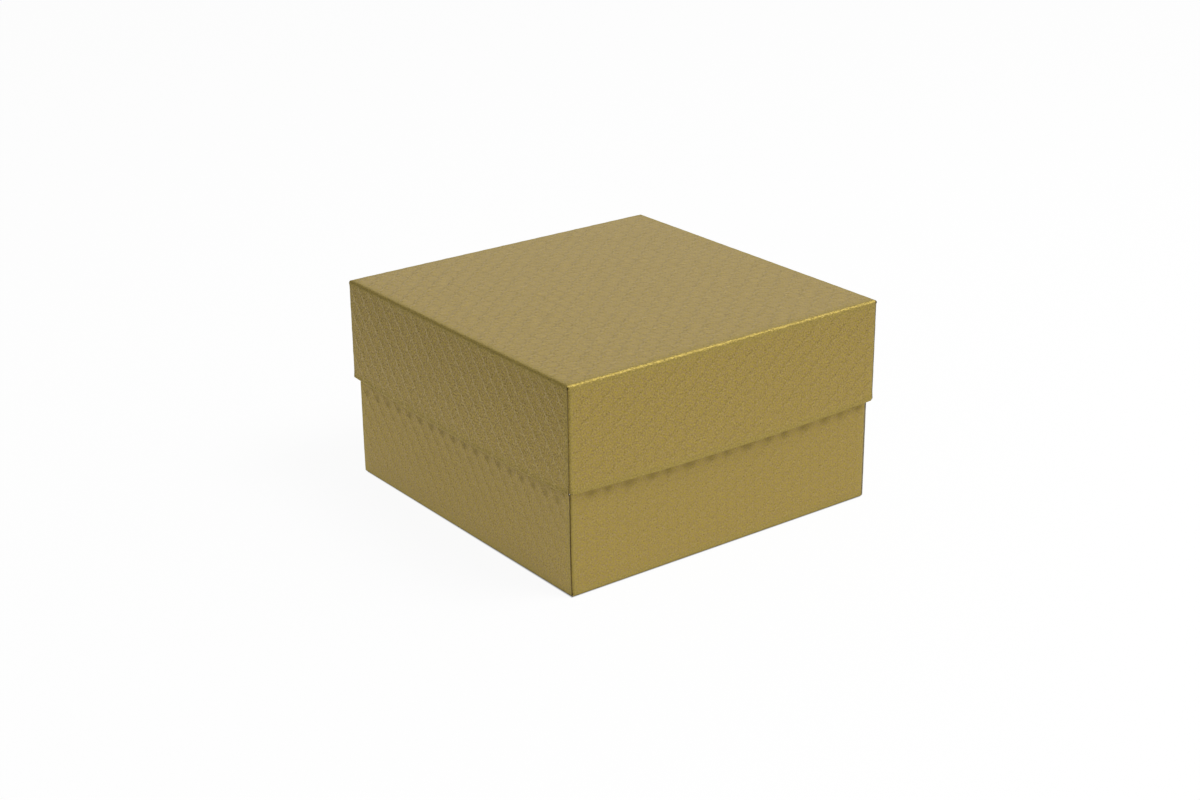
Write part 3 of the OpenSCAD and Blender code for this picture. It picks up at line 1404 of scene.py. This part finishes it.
@dataclass
class FoldedTray:
    """All the pieces of one tray, with the steps of their grids in millimetres."""

    tray: Tray
    foil: GoldFoil
    panel_step: float
    outer_step: float
    inner_step: float

    def build(self) -> list[bpy.types.Object]:
        """Makes the main panel, the outer and inner walls and the corner flaps.

        Returns:
            The pieces, which have no finish yet.
        """
        sheet: list[SheetPiece] = [MainPanel(self.tray, self.panel_step)]
        for side in Side:
            sheet.append(OuterWall(self.tray, side, self.outer_step))
            sheet.append(InnerWall(self.tray, side, self.inner_step))
            if side.is_end:
                for hand in (-1, 1):
                    sheet.append(CornerFlap(self.tray, side, self.inner_step, hand=hand))
        return [piece.build() for piece in sheet]

    def dress(self, pieces: list[bpy.types.Object], bare: list[bpy.types.Material]) -> None:
        """Gives every piece its finishes, in the order of Skin.

        Args:
            pieces: Pieces of the tray.
            bare: Finishes of the reverse and the cut edge.
        """
        finishes = [self.foil.build(), *bare]
        for piece in pieces:
            for finish in finishes:
                piece.data.materials.append(finish)


def pointing(heading: float, rise: float) -> Vector:
    """Unit vector at a heading, turned from +Y towards +X, and a rise, both in degrees."""
    turn, tilt = math.radians(heading), math.radians(rise)
    return Vector((math.sin(turn) * math.cos(tilt), math.cos(turn) * math.cos(tilt), math.sin(tilt)))


@dataclass(frozen=True)
class SoftBox:
    """A square studio lamp that points at the box: angles in degrees, lengths in metres."""

    name: str
    heading: float
    elevation: float
    distance: float
    width: float
    radiance: float

    def build(self, aim: Vector) -> None:
        """Places the lamp.

        Args:
            aim: Point that it faces.
        """
        direction = pointing(self.heading, self.elevation)
        light = bpy.data.lights.new(self.name, "AREA")
        light.shape = "SQUARE"
        light.size = self.width
        light.energy = self.radiance * math.pi * self.width**2
        lamp = bpy.data.objects.new(self.name, light)
        lamp.location = aim + direction * self.distance
        lamp.rotation_euler = direction.to_track_quat("Z", "Y").to_euler()
        lamp.visible_camera = False
        bpy.context.scene.collection.objects.link(lamp)


@dataclass(frozen=True)
class PhotoCamera:
    """The photograph's camera: place in millimetres, angles in degrees.

    Its focal share is the focal length over the width of the picture.
    """

    eye: Triple = (-306.97, -406.79, 228.63)
    heading: float = 36.76
    tilt: float = -21.81
    roll: float = -0.52
    focal_share: float = 2040.0 / 1200.0
    sensor: float = 36.0
    clip_start: float = 0.01

    def build(self) -> None:
        """Makes the camera and sets it as the scene's.

        The view goes along the heading and tilt, and the roll turns the level axes about it.
        """
        turn = math.radians(self.heading)
        roll = math.radians(self.roll)
        forward = pointing(self.heading, self.tilt)
        flat_right = Vector((math.cos(turn), -math.sin(turn), 0.0))
        flat_up = flat_right.cross(forward)
        right = flat_right * math.cos(roll) + flat_up * math.sin(roll)
        up = right.cross(forward)
        data = bpy.data.cameras.new("photo_camera")
        data.sensor_width = self.sensor
        data.lens = self.focal_share * self.sensor
        data.clip_start = self.clip_start
        camera = bpy.data.objects.new("photo_camera", data)
        turned = Matrix((right, up, -forward)).transposed()
        camera.matrix_world = Matrix.Translation(Vector(self.eye) * MM) @ turned.to_4x4()
        bpy.context.scene.collection.objects.link(camera)
        bpy.context.scene.camera = camera


@dataclass(frozen=True)
class Studio:
    """Pale floor, plain surroundings and soft lamps, with lengths in metres."""

    floor_width: float = 8.0
    floor_drop: float = 0.00002
    floor_colour: float = 0.9
    camera_share: float = 0.94
    mirror_share: float = 0.95
    pool_centre: Pair = (0.06, -0.06)
    pool_stretch: float = 0.25
    pool_fade: Pair = (0.15, 0.225)
    pool_loss: float = 0.52
    contact_half: float = 0.0485
    contact_edge: Pair = (-0.0005, 0.0010)
    contact_line: Pair = (-0.0009, -0.0002)
    contact_reach: float = 0.006
    contact_loss: float = 0.12
    surroundings: float = 0.38
    lamps: tuple[SoftBox, ...] = (
        SoftBox("key_softbox", heading=148.0, elevation=59.0, distance=1.0, width=0.45, radiance=9.8),
        SoftBox("back_softbox", heading=40.0, elevation=24.0, distance=2.2, width=1.6, radiance=0.62),
        SoftBox("right_softbox", heading=128.0, elevation=34.0, distance=2.0, width=1.6, radiance=1.2),
    )

    def build(self) -> None:
        """Makes the floor, the world and the lamps."""
        self.lay_floor()
        world = bpy.data.worlds.new("studio")
        world.use_nodes = True
        background = world.node_tree.nodes["Background"]
        background.inputs["Color"].default_value = WHITE
        background.inputs["Strength"].default_value = self.surroundings
        scene = bpy.context.scene
        scene.world = world
        scene.view_settings.view_transform = "Standard"
        for lamp in self.lamps:
            lamp.build((CAD_BOX[0] + CAD_BOX[1]) / 2)

    def lay_floor(self) -> None:
        """Lays a square of pale paper just under the box."""
        half = self.floor_width / 2
        corners = [(-half, -half), (half, -half), (half, half), (-half, half)]
        mesh = bpy.data.meshes.new("studio_floor")
        mesh.from_pydata([(x, y, -self.floor_drop) for x, y in corners], [], [(0, 1, 2, 3)])
        mesh.materials.append(self.paper())
        floor = bpy.data.objects.new("studio_floor", mesh)
        bpy.context.scene.collection.objects.link(floor)

    def paper(self) -> bpy.types.Material:
        """Pale paper that keeps the box's shadow.

        The camera and reflections see part of it as plain white and part as lit paper, each by
        its own share, so the shadow stays soft, and the lamps don't have to whiten it. In what
        is mirrored, the white is a painted pool of light: it gets darker by the distance from the
        pool's middle, which is drawn out along y, and a painted contact shadow darkens it beside
        the box and under it. Under the box the camera sees no plain white either, a painted
        contact shadow.

        Returns:
            The material.
        """
        s = Shader("studio_paper")
        path = s.add("ShaderNodeLightPath").outputs
        seen = path["Is Camera Ray"]
        mirrored = s.maths("MAXIMUM", path["Is Glossy Ray"], path["Is Transmission Ray"])
        share = s.maths("MULTIPLY_ADD", seen, self.camera_share, s.product(mirrored, self.mirror_share))
        beyond = s.maths("SUBTRACT", s.reach(s.place()), self.contact_half)
        # Painted contact shadow: a thin dark line for the camera where the box meets the paper.
        plain = s.product(seen, s.ranged(beyond, self.contact_line))
        pooled = s.product(s.maths("SUBTRACT", 1.0, seen), self.pool(s, beyond))
        white = s.add("ShaderNodeEmission", {"Color": WHITE, "Strength": s.maths("ADD", plain, pooled)})
        pale = (self.floor_colour, self.floor_colour, self.floor_colour, 1.0)
        lit = s.add("ShaderNodeBsdfDiffuse", {"Color": pale})
        both = {0: share, 1: lit.outputs[0], 2: white.outputs[0]}
        return s.finish(s.add("ShaderNodeMixShader", both))

    def pool(self, s: Shader, beyond: Socket) -> Socket:
        """Adds the nodes for the brightness of the mirrored paper: a painted pool of light and a painted
        contact shadow.

        Args:
            s: Shader to add to.
            beyond: Socket of the distance outwards from where the box touches the paper.

        Returns:
            Socket of the brightness, from 0 to 1.
        """
        x, y, _ = s.split(s.place())
        across = s.maths("SUBTRACT", x, self.pool_centre[0])
        along = s.product(s.maths("SUBTRACT", y, self.pool_centre[1]), self.pool_stretch)
        fade = s.ranged(s.distance(across, along), self.pool_fade, (1.0, 1.0 - self.pool_loss))
        # Painted contact shadow under and beside the box.
        under = s.ranged(beyond, self.contact_edge)
        beside = s.ranged(beyond, (0.0, self.contact_reach), (1.0 - self.contact_loss, 1.0))
        return s.product(fade, s.product(under, beside))


def read_trays() -> tuple[Tray, Tray]:
    """Works out both trays from the frame.

    Returns:
        The base's tray and the lid's.
    """
    card = Card()
    soft = Embossing(ridge_height=0.090, cross_height=0.022, scale_height=0.032)
    base_low, base_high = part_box("base_front_outer_wall")
    lid_low, lid_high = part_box("lid_front_outer_wall")
    lid_bow = 1.2
    half = base_high.x / MM
    rim_level = (lid_low.z - base_low.z) / MM
    base = Tray(
        body="base",
        main_panel="base_floor",
        half=half,
        tall=(base_high.z - base_low.z) / MM,
        level=base_low.z / MM,
        upward=1.0,
        drift=0.0,
        card=card,
        embossing=soft,
        sheet_shift=(0.9, 0.6),
        tuck=0.3,
        end_cut=0.45,
        shoulder=0.04,
        waist=1.0,
        rim_dints_and_shade=RimDintsAndShade(rim_level, lid_bow, half, soft),
    )
    lid = Tray(
        body="lid",
        main_panel="lid_top",
        half=lid_high.x / MM,
        tall=(lid_high.z - lid_low.z) / MM,
        level=lid_high.z / MM,
        upward=-1.0,
        drift=0.25,
        card=Card(fold_radius=1.0),
        embossing=Embossing(),
        sheet_shift=(0.0, 0.0),
        rim_bow=lid_bow,
    )
    return base, lid


def write_sizes() -> None:
    """Updates the view layer."""
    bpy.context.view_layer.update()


def main() -> None:
    """Builds the two trays, their finishes and the studio."""
    logging.basicConfig(level=logging.INFO, format="%(message)s")
    base, lid = read_trays()
    base_foil = GoldFoil(
        base.embossing, "gold_foil_base", left_line_highlight=0.0, shade_swing=0.75, bump_height=0.036
    )
    lid_foil = GoldFoil(
        lid.embossing, "gold_foil_lid", shade_swing=1.05, streak_share=0.85, bump_height=0.050
    )
    bare = [UncoatedReverse().build(), CutEdge().build()]
    for folded in (
        FoldedTray(base, base_foil, panel_step=0.6, outer_step=0.33, inner_step=0.6),
        FoldedTray(lid, lid_foil, panel_step=0.37, outer_step=0.27, inner_step=0.6),
    ):
        folded.dress(folded.build(), bare)
    PhotoCamera().build()
    Studio().build()
    write_sizes()


if __name__ == "__main__":
    main()
